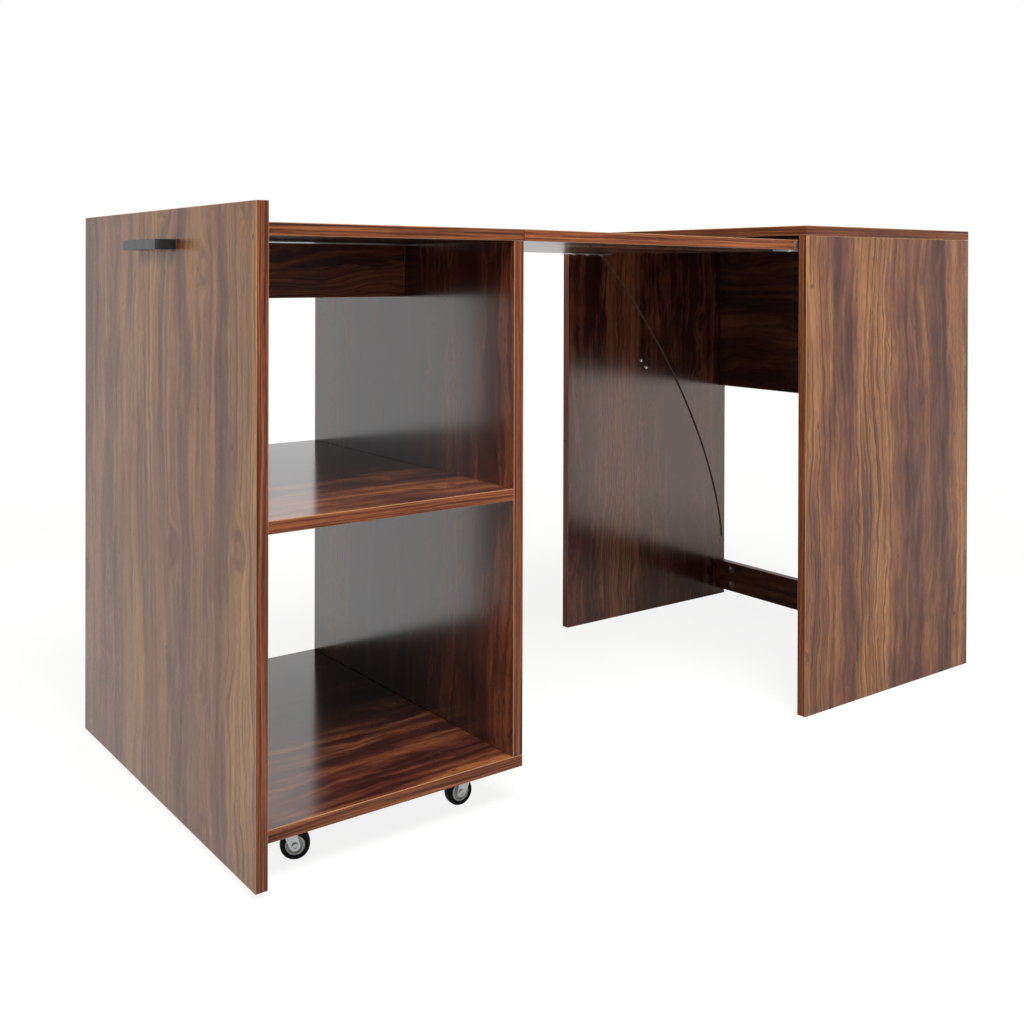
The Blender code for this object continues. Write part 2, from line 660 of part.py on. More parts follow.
def build_caster(name, x, y):
    """Swivel caster: a plate under the cabinet, a fork on its kingpin, an axle and a wheel."""
    plate_top = CASTER_H - FIT_GAP
    cup_low = plate_top - PLATE_T - CUP_H
    fork_top = cup_low - FIT_GAP
    plate = add_box(
        "caster_plate_" + name,
        (x - PLATE_W / 2, y - PLATE_W / 2, plate_top - PLATE_T),
        (x + PLATE_W / 2, y + PLATE_W / 2, plate_top),
        CABINET,
        "zinc",
    )
    cup_h = CUP_H + PLATE_T / 2
    cup = add_rod("caster_cup_" + name, CUP_R, (x, y, cup_low), cup_h, "Z", CABINET, steps=ROUND_STEPS)
    unite(plate, cup)
    bore_at = (x, y, cup_low - PLATE_T)
    bore = add_rod("caster_bore_" + name, KINGPIN_R + FIT_GAP, bore_at, 2 * CASTER_H, "Z", CABINET)
    cut(plate, bore)

    swivel = add_empty("caster_swivel_axis_" + name, CABINET, (x, y, 0.0), (0.0, 0.0, CASTER_YAWS[name]))
    fork_low = fork_top - FORK_TOP_T
    fork_at = (0.0, 0.0, fork_low)
    fork = add_rod("caster_fork_" + name, FORK_TOP_R, fork_at, FORK_TOP_T, "Z", swivel, "zinc", ROUND_STEPS)
    post_at = (0.0, 0.0, fork_low + FORK_TOP_T / 2)
    post_l = plate_top - fork_low - FORK_TOP_T / 2 - FIT_GAP
    post = add_rod("caster_kingpin_" + name, KINGPIN_R, post_at, post_l, "Z", swivel)
    unite(fork, post)
    leg_inner = WHEEL_W / 2 + WHEEL_SIDE_GAP
    leg_mid = leg_inner + FORK_T / 2
    leg_reach = math.sqrt(FORK_TOP_R ** 2 - (leg_inner + FORK_T) ** 2)
    leg_top = fork_low + FORK_TOP_T / 2
    leg = [(-leg_reach, leg_top), (leg_reach, leg_top)]
    leg += arc((CASTER_TRAIL, WHEEL_R), FORK_END_R, FORK_LEG_SLANT, FORK_LEG_SLANT - 180.0)
    for side, sign in (("left", 1.0), ("right", -1.0)):
        blade = add_prism(
            f"caster_{side}_leg_{name}", leg, FORK_T, (0.0, sign * leg_mid, 0.0), swivel, upright=True
        )
        unite(fork, blade)
    axle_hole_l = 4 * leg_mid
    axle_hole = add_rod(
        "caster_axle_hole_" + name,
        AXLE_R + FIT_GAP,
        (CASTER_TRAIL, -axle_hole_l / 2, WHEEL_R),
        axle_hole_l,
        "Y",
        swivel,
    )
    cut(fork, axle_hole)
    head = leg_inner + FORK_T + FIT_GAP
    end = head + AXLE_HEAD_T
    axle_profile = [
        (0.0, end),
        (AXLE_CROWN_R, end),
        (AXLE_HEAD_R, end - AXLE_CROWN_T),
        (AXLE_HEAD_R, head),
        (AXLE_R, head),
    ]
    axle_profile += [(r, -h) for r, h in reversed(axle_profile)]
    axle_at = (CASTER_TRAIL, 0.0, WHEEL_R)
    add_turned("caster_axle_" + name, axle_profile, axle_at, "Y", swivel, "zinc", steps=SMALL_STEPS)
    build_wheel(name, swivel, axle_at)


def build_wheel(name, swivel, axle_at):
    """Hub with a web and a rubber tyre round it, on the wheel's own axis."""
    wheel = add_empty("caster_wheel_axis_" + name, swivel, axle_at)
    boss = WHEEL_W / 2 + WHEEL_SIDE_GAP - FIT_GAP
    rim = WHEEL_W / 2 - FIT_GAP
    bore = AXLE_R + FIT_GAP
    rim_r = HUB_R - HUB_RIM_T
    half = [
        (HUB_R, rim),
        (rim_r, rim),
        (rim_r, HUB_WEB_HALF_T),
        (HUB_BOSS_R, HUB_WEB_HALF_T),
        (HUB_BOSS_R, boss),
        (bore, boss),
    ]
    hub_profile = [(r, -h) for r, h in half] + half[::-1]
    add_turned("caster_hub_" + name, hub_profile, (0.0, 0.0, 0.0), "Y", wheel, "grey_plastic", closed=True)
    tyre_in = HUB_R + FIT_GAP
    corner = (WHEEL_R - TYRE_ROUND, WHEEL_W / 2 - TYRE_ROUND)
    shoulder = arc(corner, TYRE_ROUND, 90.0, 0.0, SHOULDER_STEPS)
    outside = [(tyre_in, WHEEL_W / 2)] + shoulder
    tyre_profile = outside + [(r, -h) for r, h in reversed(outside)]
    add_turned("caster_tyre_" + name, tyre_profile, (0.0, 0.0, 0.0), "Y", wheel, "rubber", closed=True)


build_carcass()
build_cabinet()
build_desk_board()
build_hinges()
for caster_name, caster_x, caster_y in caster_places():
    build_caster(caster_name, caster_x, caster_y)
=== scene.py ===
"""Looks of the pull-out computer desk: finishes, small fasteners, studio light and camera."""

import json
import math
from collections import namedtuple

import bmesh
import bpy
import numpy as np
from mathutils import Matrix, Vector

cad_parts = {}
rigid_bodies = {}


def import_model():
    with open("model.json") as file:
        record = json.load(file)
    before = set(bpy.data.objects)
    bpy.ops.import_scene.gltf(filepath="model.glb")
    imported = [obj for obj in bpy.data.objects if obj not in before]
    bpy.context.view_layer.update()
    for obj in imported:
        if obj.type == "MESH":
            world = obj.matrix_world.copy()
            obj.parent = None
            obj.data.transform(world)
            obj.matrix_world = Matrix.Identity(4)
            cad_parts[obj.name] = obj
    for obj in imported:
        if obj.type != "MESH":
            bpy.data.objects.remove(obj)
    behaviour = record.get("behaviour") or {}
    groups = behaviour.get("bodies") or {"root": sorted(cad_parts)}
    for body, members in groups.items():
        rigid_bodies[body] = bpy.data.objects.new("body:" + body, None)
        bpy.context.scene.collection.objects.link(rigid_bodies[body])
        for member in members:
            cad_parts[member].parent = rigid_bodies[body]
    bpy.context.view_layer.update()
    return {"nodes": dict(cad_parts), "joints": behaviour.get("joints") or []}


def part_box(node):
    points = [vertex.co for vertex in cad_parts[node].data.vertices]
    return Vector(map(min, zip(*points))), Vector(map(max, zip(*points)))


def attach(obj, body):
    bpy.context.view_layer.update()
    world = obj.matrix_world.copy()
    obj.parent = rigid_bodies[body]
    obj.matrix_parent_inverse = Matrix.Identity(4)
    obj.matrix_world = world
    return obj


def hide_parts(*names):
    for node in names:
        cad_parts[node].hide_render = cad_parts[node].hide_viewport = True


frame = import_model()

NODES = frame["nodes"]
JOINTS = {joint["name"]: joint for joint in frame["joints"]}
AXES = {"X": 0, "Y": 1, "Z": 2}
WHITE = (1.0, 1.0, 1.0)

# The photograph's camera, in the frame's metres and degrees, and its frame in pixels
PHOTO_SIZE = 1024
CAMERA_AT = (-1.2014, -1.4851, 0.6795)
CAMERA_YAW = 36.747
CAMERA_PITCH = -0.3005
CAMERA_ROLL = 0.1586
FOCAL_PIXELS = 1199.06
HORIZON_ROW = 277.16
SENSOR_MM = 36.0

# Each board: the axis through its thickness, the axis that its grain follows, its place on the laminate
# sheet in metres, how far its grain waves, how strong its figure is, and its printed planks as
# (start, tone), with starts as shares of the board's width and tones from 0 dark to 1 golden
Board = namedtuple("Board", "through grain sheet wave contrast planks")
BOARDS = {
    "near_side_panel": Board(
        "Y", "Z", 0.0, 1.0, 1.0,
        ((0.0, 0.8), (0.13, 0.35), (0.29, 0.85), (0.49, 0.3),
         (0.7, 0.45), (0.79, 0.25), (0.87, 0.7), (0.96, 0.4)),
    ),
    "far_side_panel": Board(
        "Y", "Z", 2.1, 1.0, 1.6,
        ((0.0, 0.4), (0.1, 0.25), (0.2, 1.0), (0.42, 0.3), (0.62, 0.1), (0.82, 0.2)),
    ),
    "fixed_top": Board(
        "Z", "Y", 4.2, 1.0, 1.0, ((0.0, 0.6), (0.17, 0.25), (0.38, 0.85), (0.61, 0.4), (0.8, 0.7))
    ),
    "modesty_panel": Board("X", "Y", 6.3, 2.0, 1.0, ((0.0, 0.3), (0.3, 0.6), (0.52, 0.2), (0.8, 0.5))),
    "rear_rail": Board("X", "Y", 8.4, 1.0, 1.0, ((0.0, 0.35), (0.55, 0.5))),
    "fascia": Board(
        "X", "Z", 10.5, 1.0, 0.75,
        ((0.0, 0.88), (0.12, 0.3), (0.21, 0.65), (0.3, 0.4),
         (0.42, 0.75), (0.74, 0.3), (0.82, 0.55), (0.93, 0.25)),
    ),
    "cabinet_top": Board(
        "Z", "X", 12.6, 1.0, 1.0, ((0.0, 0.7), (0.2, 0.3), (0.42, 0.8), (0.66, 0.45), (0.84, 0.2))
    ),
    "cabinet_bottom": Board(
        "Z", "X", 14.7, 1.0, 1.5, ((0.0, 0.4), (0.05, 0.2), (0.18, 0.4), (0.24, 0.1), (0.7, 0.2))
    ),
    "cabinet_shelf": Board(
        "Z", "X", 16.8, 1.0, 1.5, ((0.0, 0.5), (0.08, 0.3), (0.22, 0.1), (0.62, 0.3), (0.8, 0.2))
    ),
    "cabinet_end_panel": Board(
        "X", "Z", 18.9, 1.0, 1.3,
        ((0.0, 0.45), (0.07, 0.2), (0.17, 0.45), (0.3, 0.45),
         (0.4, 0.15), (0.68, 0.25), (0.78, 0.75), (0.94, 0.4)),
    ),
    "cabinet_apron": Board("Y", "X", 21.0, 2.5, 1.9, ((0.0, 0.85), (0.56, 0.4))),
    "desk_board": Board(
        "Z", "X", 23.1, 1.0, 1.0, ((0.0, 0.4), (0.15, 0.8), (0.34, 0.3), (0.57, 0.65), (0.79, 0.2))
    ),
}

# A board's flat faces lie within the skin's depth of its outside, and what is deeper than its bevels is core
SKIN_DEPTH = 0.0002
BEVEL_DEPTH = 0.0012
FLAT_COSINE = 0.99

# How rough a laminate face is, how strongly it mirrors, how deep its pores are, what its print's colours are
# multiplied by, and the tint of its reflections; where a face lies in shade, that multiplier is painted
# shade
Finish = namedtuple("Finish", "roughness ior relief dye tint", defaults=(WHITE, WHITE))
FINISHES = {
    "plain": Finish(0.26, 1.42, 0.06),
    "front": Finish(0.26, 1.32, 0.06, (0.97, 1.09, 1.03)),
    # Painted shade: the multipliers below darken the print of the faces inside the bays, in the leg room,
    # under the cabinet top, of the apron and of the modesty panel
    "sheltered": Finish(0.17, 2.00, 0.02, (0.66, 0.45, 0.42)),
    "leg_room": Finish(0.18, 2.10, 0.02, (0.92, 0.69, 0.80), (1.0, 0.82, 0.73)),
    "bottom": Finish(0.15, 1.64, 0.02, (0.72, 0.56, 0.50)),
    "shelf": Finish(0.15, 1.53, 0.02, (0.78, 0.64, 0.64)),
    "underside": Finish(0.24, 1.40, 0.0),
    "bay_roof": Finish(0.24, 1.20, 0.0, (0.40, 0.30, 0.30)),
    "dull": Finish(0.42, 1.25, 0.08),
    "apron": Finish(0.42, 1.25, 0.08, (0.52, 0.36, 0.43)),
    "shaded": Finish(0.42, 1.25, 0.08, (0.58, 0.52, 0.70)),
}

# Faces that aren't plain, by board and by their side along the axis through it
FACE_FINISHES = {
    ("cabinet_end_panel", "low"): "sheltered",
    ("fascia", "low"): "front",
    ("fascia", "high"): "sheltered",
    ("far_side_panel", "low"): "leg_room",
    ("near_side_panel", "high"): "leg_room",
    ("cabinet_shelf", "high"): "shelf",
    ("cabinet_bottom", "high"): "bottom",
    ("cabinet_shelf", "low"): "underside",
    ("desk_board", "low"): "underside",
    ("cabinet_top", "low"): "bay_roof",
    ("fixed_top", "low"): "underside",
    ("cabinet_apron", "low"): "apron",
    ("cabinet_apron", "high"): "apron",
    ("modesty_panel", "low"): "shaded",
    ("rear_rail", "low"): "dull",
}

# Laminate colours, linear: dark heartwood to golden sapwood, then its lines and knots
WALNUT_STOPS = (
    (0.08, (0.030, 0.010, 0.007)),
    (0.28, (0.068, 0.0225, 0.015)),
    (0.48, (0.133, 0.050, 0.026)),
    (0.68, (0.236, 0.102, 0.040)),
    (0.92, (0.366, 0.176, 0.067)),
)
WALNUT_LINE = (0.028, 0.010, 0.007)
KNOT_COLOUR = (0.050, 0.014, 0.007)

# Noise of the print: features per metre across and along the grain, octaves and their roughness
Noise = namedtuple("Noise", "across along detail roughness", defaults=(2.0, 0.5))

# How the planks' borders and the grain wander, and how far in metres; the swing's noise lies crosswise
PLANK_SWING = Noise(3.0, 2.0)
PLANK_SWING_REACH = 0.06
PLANK_FRAY = Noise(60.0, 14.0, 3.0)
PLANK_FRAY_REACH = 0.04
GRAIN_WAVE = Noise(6.0, 2.4)
GRAIN_WAVE_REACH = 0.05
GRAIN_RIPPLE = Noise(40.0, 18.0)
GRAIN_RIPPLE_REACH = 0.012

# Half the blend between two planks, as a share of the board's width
PLANK_BLEND = 0.02

# Layers of the figure: noise, the part of its range that is spread out, and its strength
Layer = namedtuple("Layer", "noise low high strength", defaults=(1.0,))
FEATHER = Layer(Noise(48.0, 10.0, 4.0, 0.65), 0.30, 0.70)
STREAK = Layer(Noise(110.0, 2.2, 3.0, 0.55), 0.28, 0.72)
PATCH = Layer(Noise(16.0, 2.0, 3.0, 0.55), 0.28, 0.72)
FLECKS = Layer(Noise(300.0, 34.0, 2.0, 0.6), 0.52, 0.70)
PORES = Layer(Noise(1100.0, 55.0, 1.0), 0.58, 0.74, 0.45)
PINSTRIPES = Layer(Noise(340.0, 1.6, 1.0), 0.52, 0.64, 0.7)

# Shares of the layers in the wood's shade and lines, how much of a share fades where the wood is light,
# the tones between which pinstripes appear, and the lines' roughness and depth in metres
SHADE_START = -0.07
SHADE_MIDDLE = 0.45
TONE_SHARE = 0.54
PATCH_SHARE = 0.26
FEATHER_SHARE = 0.24
FEATHER_FADE = 0.20
STREAK_SHARE = 0.22
FLECK_SHARE = 0.5
FLECK_FADE = 0.25
PINSTRIPE_TONES = (0.55, 0.8)
LINE_ROUGHNESS = 0.05
PORE_DEPTH = 0.0002

# Knots: cells per metre across the grain, share of cells with a knot, radius in cells, and how far the
# grain bends round it in metres; then cells along the grain for each one across, and where a swirl's
# ring and a pin knot's middle turn dark, and how dark
Knots = namedtuple("Knots", "per_metre share radius push")
SWIRLS = Knots(9.0, 0.30, 0.24, 0.026)
PINS = Knots(19.0, 0.20, 0.08, 0.006)
KNOT_STRETCH = 0.6
RING_RISE = (0.25, 0.6)
RING_FALL = (0.92, 0.7)
RING_DARK = 0.4
PIN_RISE = (0.25, 0.8)
PIN_DARK = 0.8

# Edge bands: colours, multipliers of some boards' band colours (on the far panel, painted light on its front
# edge, which lies in shade), noise, whose wander lies crosswise, the painted highlight along each arris, a
# lighter line from one share of half the thickness to another, and the finish
EDGE_STOPS = (
    (0.30, (0.029, 0.007, 0.004)),
    (0.42, (0.082, 0.020, 0.007)),
    (0.55, (0.146, 0.041, 0.014)),
    (0.70, (0.232, 0.083, 0.031)),
)
EDGE_TONE_AND_PAINTED_LIGHT = {
    "far_side_panel": 1.7,
    "fixed_top": 0.82,
    "fascia": 0.88,
    "desk_board": 1.2,
    "cabinet_top": 0.88,
}
EDGE_WANDER = Noise(7.0, 60.0)
EDGE_WANDER_REACH = 0.004
EDGE_STRIPES = Noise(420.0, 4.0, 2.0, 0.6)
EDGE_FIBRES = Noise(1500.0, 70.0, 1.0)
EDGE_FIBRE_SHARE = 0.22
ARRIS_HIGHLIGHT_COLOUR = (0.340, 0.180, 0.095)
ARRIS_HIGHLIGHT_FROM = 0.84
ARRIS_HIGHLIGHT_TO = 0.95
ARRIS_HIGHLIGHT_STRENGTH = 0.75
EDGE_ROUGHNESS = 0.30
EDGE_ROUGHNESS_SPREAD = 0.12
EDGE_IOR = 1.32
EDGE_RELIEF = 0.15

# Cut particle board: colours, chips per metre and their octaves, roughness, relief and its depth in metres
CORE_STOPS = ((0.3, (0.270, 0.165, 0.125)), (0.7, (0.400, 0.260, 0.205)))
CHIPS_PER_METRE = 900.0
CHIP_DETAIL = 3.0
CORE_ROUGHNESS = 0.75
CORE_RELIEF = 0.4
CHIP_DEPTH = 0.0004

# Coatings: linear colours of their speckle, roughness, metallic, IOR, speckles per metre and relief
Coat = namedtuple("Coat", "dark light roughness metallic ior speckle relief")
COATS = {
    "zinc_plate": Coat((0.36, 0.37, 0.38), (0.48, 0.49, 0.49), 0.32, 1.0, 1.5, 1600.0, 0.10),
    "nickel_plate": Coat((0.82, 0.82, 0.80), (0.92, 0.92, 0.90), 0.16, 1.0, 1.5, 1500.0, 0.03),
    "bright_zinc": Coat((0.78, 0.78, 0.77), (0.88, 0.88, 0.87), 0.50, 1.0, 1.5, 1600.0, 0.05),
    "black_coat": Coat((0.008, 0.008, 0.009), (0.016, 0.016, 0.017), 0.24, 0.0, 1.38, 3000.0, 0.05),
    "tyre_rubber": Coat((0.002, 0.002, 0.002), (0.004, 0.004, 0.004), 0.55, 0.0, 1.2, 2400.0, 0.25),
    "hub_plastic": Coat((0.62, 0.63, 0.62), (0.74, 0.75, 0.74), 0.42, 0.0, 1.5, 1800.0, 0.08),
}

# Speckle in every coating: octaves and their roughness, clouds per metre, the blend of both and its colour
# range, how far the clouds change the roughness, and the relief's depth in metres
SPECKLE_DETAIL = 3.0
SPECKLE_ROUGHNESS = 0.6
CLOUDS_PER_METRE = 90.0
SPECKLE_SHARE = 0.6
CLOUD_SHARE = 0.4
SPECKLE_RANGE = (0.35, 0.65)
CLOUD_RANGE = (0.3, 0.7)
GLOSS_RANGE = (0.85, 1.15)
SPECKLE_DEPTH = 0.0001

# Coatings of the nodes by the first two words of their names; the others are zinc plated
NODE_COATS = {
    "handle": "black_coat",
    "caster_tyre": "tyre_rubber",
    "caster_hub": "hub_plastic",
    "panel_screw": "nickel_plate",
    "board_bracket": "bright_zinc",
}

# Seats of the fasteners in metres: open faces of a hinge leaf and of a bracket from the hinge's axis, the
# leaf's zigzag row, insets, and the casters' plate thickness; then turns of the recesses in radians
LEAF_FACE = 0.0015
LEAF_MIDDLE = 0.0135
LEAF_ZIGZAG = 0.003
LEAF_SCREW_STEP = 0.016
BRACKET_FACE = 0.0012
BRACKET_SCREW_INSET = 0.018
BRACKET_SCREWS = 3
PLATE_T = 0.0017
PLATE_SCREW_INSET = 0.006
SCREW_TURN = 0.7
CAM_TURN = math.radians(20.0)

# Fastener heads: radius, height, and the arm length, arm width and depth of the cross recess
Head = namedtuple("Head", "radius height reach width depth")
LEAF_HEAD = Head(0.0030, 0.0006, 0.0034, 0.0008, 0.0005)
BRACKET_HEAD = Head(0.0038, 0.0017, 0.0042, 0.0010, 0.0010)
PLATE_HEAD = Head(0.0030, 0.0013, 0.0034, 0.0008, 0.0008)
CAM_RECESS = Head(0.0075, 0.0, 0.0088, 0.0021, 0.0022)

# Screws that show: coating, body, slot, the way that they face, and the endings of their nodes' names
ShownScrew = namedtuple("ShownScrew", "coat body slot facing ends")
SHOWN_SCREWS = {
    "panel_screw": ShownScrew("nickel_plate", "frame", "white_cap", (0.0, -1.0, 0.0), ("upper", "lower")),
    "handle_screw": ShownScrew("zinc_plate", "cabinet", "zinc_steel", (1.0, 0.0, 0.0), ("near", "far")),
}

# Their heads' height and recess depth in metres, and their recess and shank as shares of the radius
SHOWN_HEIGHT = 0.0012
SHOWN_DEPTH = 0.0008
SHOWN_REACH = 1.1
SHOWN_WIDTH = 0.26
SHANK_SHARE = 0.4

# Wheels and their rivets in metres, as their solids are; the axle's height is the wheel's radius, and the
# dimple's floor is a share of its radius
WHEEL_HALF_W = 0.007
TYRE_ROUND = 0.003
TYRE_CROWN = 0.0003
TYRE_INNER_R = 0.0115
BEAD_R = 0.0135
BEAD_RELIEF = 0.0005
HUB_R = 0.0112
HUB_RIM_R = 0.0092
HUB_RIM_HALF_W = 0.0067
HUB_WEB_HALF_T = 0.0035
HUB_BOSS_R = 0.0050
HUB_BOSS_HALF_W = 0.0075
HUB_BORE_R = 0.0028
HUB_FILLET = 0.0006
AXLE_R = 0.0025
RIVET_R = 0.0042
RIVET_SEAT = 0.0095
RIVET_END = 0.0109
RIVET_CROWN_R = 0.0034
RIVET_DIMPLE_R = 0.0019
RIVET_DIMPLE_FLOOR = 0.8
RIVET_DIMPLE = 0.0008

# Fineness of turned pieces: steps round them, points of a dome, steps of an arc, distance in metres within
# which points merge, and the angle of a sharp edge
ROUND_STEPS = 64
SCREW_STEPS = 32
DOME_POINTS = 9
FILLET_STEPS = 4
SHOULDER_STEPS = 6
MERGE_DISTANCE = 1e-6
SHARP_ANGLE = math.radians(38.0)

# Floor: half size in metres, its colour in bounced light and in the picture, and how white it looks near
# the object, from one distance to another
FLOOR_HALF = 60.0
FLOOR_BOUNCE = (0.44, 0.44, 0.43)
FLOOR_SEEN = (0.80, 0.80, 0.79)
FLOOR_NEAR = 1.0
FLOOR_FAR = 3.0
FLOOR_GLOW_NEAR = 0.87

# The floor of the leg room, which lies in shade, looks darker in the glossy boards round it
LEG_ROOM_AT = (0.46, 0.0, 0.0)
LEG_ROOM_NEAR = 0.45
LEG_ROOM_FAR = 1.2
LEG_ROOM_GLOW = 0.10

# The room's soft light, and a dark flag that only reflections see: its level, and the ranges of sideways
# and upward direction over which it begins
ROOM_COLOUR = (1.0, 0.985, 0.96)
ROOM_LIGHT = 0.05
FLAG_LEVEL = 0.15
FLAG_SIDE = (0.1, -0.2)
FLAG_HEIGHT = (0.06, 0.2)

# Softboxes: place, target and size in metres, and power
LAMP_COLOUR = (1.0, 0.98, 0.95)
Softbox = namedtuple("Softbox", "at target size watts")
SOFTBOXES = {
    "key_softbox": Softbox((-0.6, -1.9, 3.4), (0.0, 0.0, 0.4), (2.0, 1.6), 267.0),
    "side_softbox": Softbox((-3.2, -0.4, 2.2), (-0.4, 0.0, 0.4), (2.0, 2.0), 86.0),
    "back_softbox": Softbox((2.2, 3.0, 1.6), (0.2, 0.0, 0.4), (2.0, 2.0), 60.0),
}

# The Mix node's sockets for colours
MIX_FACTOR = 0
MIX_COLOURS = (6, 7)
MIX_RESULT = 2


class Graph:
    """A material's or the world's node tree, with short calls that add a node and return its output."""

    def __init__(self, owner):
        owner.use_nodes = True
        self.tree = owner.node_tree
        self.tree.nodes.clear()

    def node(self, kind, inputs=(), **settings):
        made = self.tree.nodes.new(kind)
        for key, value in settings.items():
            setattr(made, key, value)
        for key, value in dict(inputs).items():
            self.feed(made.inputs[key], value)
        return made

    def feed(self, socket, value):
        if isinstance(value, bpy.types.NodeSocket):
            self.tree.links.new(value, socket)
        elif socket.type == "RGBA":
            socket.default_value = (*value, 1.0)
        else:
            socket.default_value = value

    def math(self, operation, first, second=0.0, third=0.0):
        return self.node("ShaderNodeMath", {0: first, 1: second, 2: third}, operation=operation).outputs[0]

    def scaled(self, value, factor, offset=0.0):
        return self.math("MULTIPLY_ADD", value, factor, offset)

    def drift(self, value, noise, amount):
        """Moves a value to and fro by noise about its middle."""
        return self.math("MULTIPLY_ADD", self.math("SUBTRACT", noise, 0.5), amount, value)

    def fit(self, value, low, high, to_low=0.0, to_high=1.0):
        """Maps a value smoothly from one range to another."""
        inputs = {"Value": value, "From Min": low, "From Max": high, "To Min": to_low, "To Max": to_high}
        return self.node("ShaderNodeMapRange", inputs, interpolation_type="SMOOTHSTEP").outputs["Result"]

    def pair(self, first, second):
        return self.node("ShaderNodeCombineXYZ", {0: first, 1: second}).outputs[0]

    def grain(self, across, along, noise):
        """Noise over two lengths, with its own number of features per metre of each."""
        vector = self.pair(self.scaled(across, noise.across), self.scaled(along, noise.along))
        inputs = {"Vector": vector, "Scale": 1.0, "Detail": noise.detail, "Roughness": noise.roughness}
        return self.node("ShaderNodeTexNoise", inputs, noise_dimensions="2D").outputs["Fac"]

    def layer(self, across, along, layer):
        """Noise of one layer of the figure, with the middle of its range spread out."""
        noise = self.grain(across, along, layer.noise)
        return self.fit(noise, layer.low, layer.high, 0.0, layer.strength)

    def speckle(self, place, scale, detail=2.0, roughness=0.5):
        """Noise with so many features per metre every way."""
        inputs = {"Vector": place, "Scale": scale, "Detail": detail, "Roughness": roughness}
        return self.node("ShaderNodeTexNoise", inputs).outputs["Fac"]

    def split(self, vector):
        return self.node("ShaderNodeSeparateXYZ", {0: vector}).outputs

    def along_axis(self, place, axis):
        inputs = {0: place, 1: axis}
        return self.node("ShaderNodeVectorMath", inputs, operation="DOT_PRODUCT").outputs["Value"]

    def ramp(self, value, stops):
        made = self.node("ShaderNodeValToRGB", {"Fac": value})
        elements = made.color_ramp.elements
        while len(elements) < len(stops):
            elements.new(1.0)
        for element, (position, colour) in zip(elements, stops):
            element.position = position
            element.color = (*colour, 1.0)
        return made.outputs["Color"]

    def mix(self, factor, first, second):
        made = self.node("ShaderNodeMix", data_type="RGBA")
        self.feed(made.inputs[MIX_FACTOR], factor)
        for number, colour in zip(MIX_COLOURS, (first, second)):
            self.feed(made.inputs[number], colour)
        return made.outputs[MIX_RESULT]

    def bump(self, height, strength, distance):
        inputs = {"Height": height, "Strength": strength, "Distance": distance}
        return self.node("ShaderNodeBump", inputs).outputs["Normal"]

    def place(self):
        """Rest position of the shaded point, in metres, which moves with the piece."""
        return self.node("ShaderNodeTexCoord").outputs["Object"]

    def surface(self, inputs):
        """Ends the tree with a Principled shader."""
        shader = self.node("ShaderNodeBsdfPrincipled", inputs)
        self.node("ShaderNodeOutputMaterial", {"Surface": shader.outputs[0]})


def board_frame(board):
    """Unit vector through a board's thickness, and how far its low and high faces lie along it."""
    mesh = NODES[board].data
    largest = max(mesh.polygons, key=lambda polygon: polygon.area)
    through = Vector(largest.normal)
    if through[AXES[BOARDS[board].through]] < 0:
        through.negate()
    levels = [through.dot(vertex.co) for vertex in mesh.vertices]
    return through, min(levels), max(levels)


def cross_axis(board):
    """Number of the axis that runs across the grain in a board's face."""
    return sum(AXES.values()) - AXES[BOARDS[board].through] - AXES[BOARDS[board].grain]


# Colours multiplied: a shift in the print's colour, and painted shade and painted light on faces and edge
# bands
def scaled_colour(colour, dye):
    return [part * share for part, share in zip(colour, dye)]


def scaled_stops(stops, dye):
    return [(position, scaled_colour(colour, dye)) for position, colour in stops]


def plank_tone(graph, board, across):
    """Tone of the printed plank that a point lies in, which blends into its neighbours'."""
    low, high = (corner[cross_axis(board)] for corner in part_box(board))
    inputs = {"Value": across, "From Min": low, "From Max": high}
    share = graph.node("ShaderNodeMapRange", inputs).outputs["Result"]
    planks = BOARDS[board].planks
    tones = [planks[0]]
    for (_, before), (start, after) in zip(planks, planks[1:]):
        tones += [(start - PLANK_BLEND, before), (start + PLANK_BLEND, after)]
    return graph.split(graph.ramp(share, [(start, (tone, tone, tone)) for start, tone in tones]))[0]


def knots(graph, across, along, kind):
    """Strength of scattered knots, long in the grain's direction, in a share of cells."""
    lengthways = graph.scaled(along, kind.per_metre * KNOT_STRETCH)
    inputs = {"Vector": graph.pair(graph.scaled(across, kind.per_metre), lengthways), "Scale": 1.0}
    cells = graph.node("ShaderNodeTexVoronoi", inputs, voronoi_dimensions="2D").outputs
    pick = graph.math("LESS_THAN", graph.split(cells["Color"])[0], kind.share)
    return graph.math("MULTIPLY", graph.fit(cells["Distance"], kind.radius, 0.0), pick)


def walnut_shade(graph, tone, patch, moved, along):
    """Shade of the wood, from its planks' tones and the layers of its figure."""
    feather = graph.layer(moved, along, FEATHER)
    streak = graph.layer(moved, along, STREAK)
    shade = graph.scaled(tone, TONE_SHARE, graph.scaled(patch, PATCH_SHARE, SHADE_START))
    shade = graph.math("MULTIPLY_ADD", feather, graph.scaled(tone, -FEATHER_FADE, FEATHER_SHARE), shade)
    return graph.math("MULTIPLY_ADD", streak, STREAK_SHARE, shade)


def walnut_lines(graph, tone, patch, across, moved, along):
    """Strength of the dark lines: flecks, pores, and pinstripes on golden planks."""
    flecks = graph.layer(moved, along, FLECKS)
    flecks = graph.math("MULTIPLY", flecks, graph.scaled(patch, -FLECK_FADE, FLECK_SHARE))
    pores = graph.layer(across, along, PORES)
    pinstripes = graph.layer(moved, along, PINSTRIPES)
    pinstripes = graph.math("MULTIPLY", pinstripes, graph.fit(tone, *PINSTRIPE_TONES))
    return graph.math("MAXIMUM", graph.math("MAXIMUM", flecks, pores), pinstripes)


def knot_colour(graph, swirl, pin):
    """Strength of the knots' dark colour: a ring in each swirl and the middle of each pin knot."""
    ring = graph.fit(swirl, *RING_RISE, 0.0, RING_DARK)
    ring = graph.math("MULTIPLY", ring, graph.fit(swirl, *RING_FALL))
    return graph.math("MAXIMUM", graph.fit(pin, *PIN_RISE, 0.0, PIN_DARK), ring)


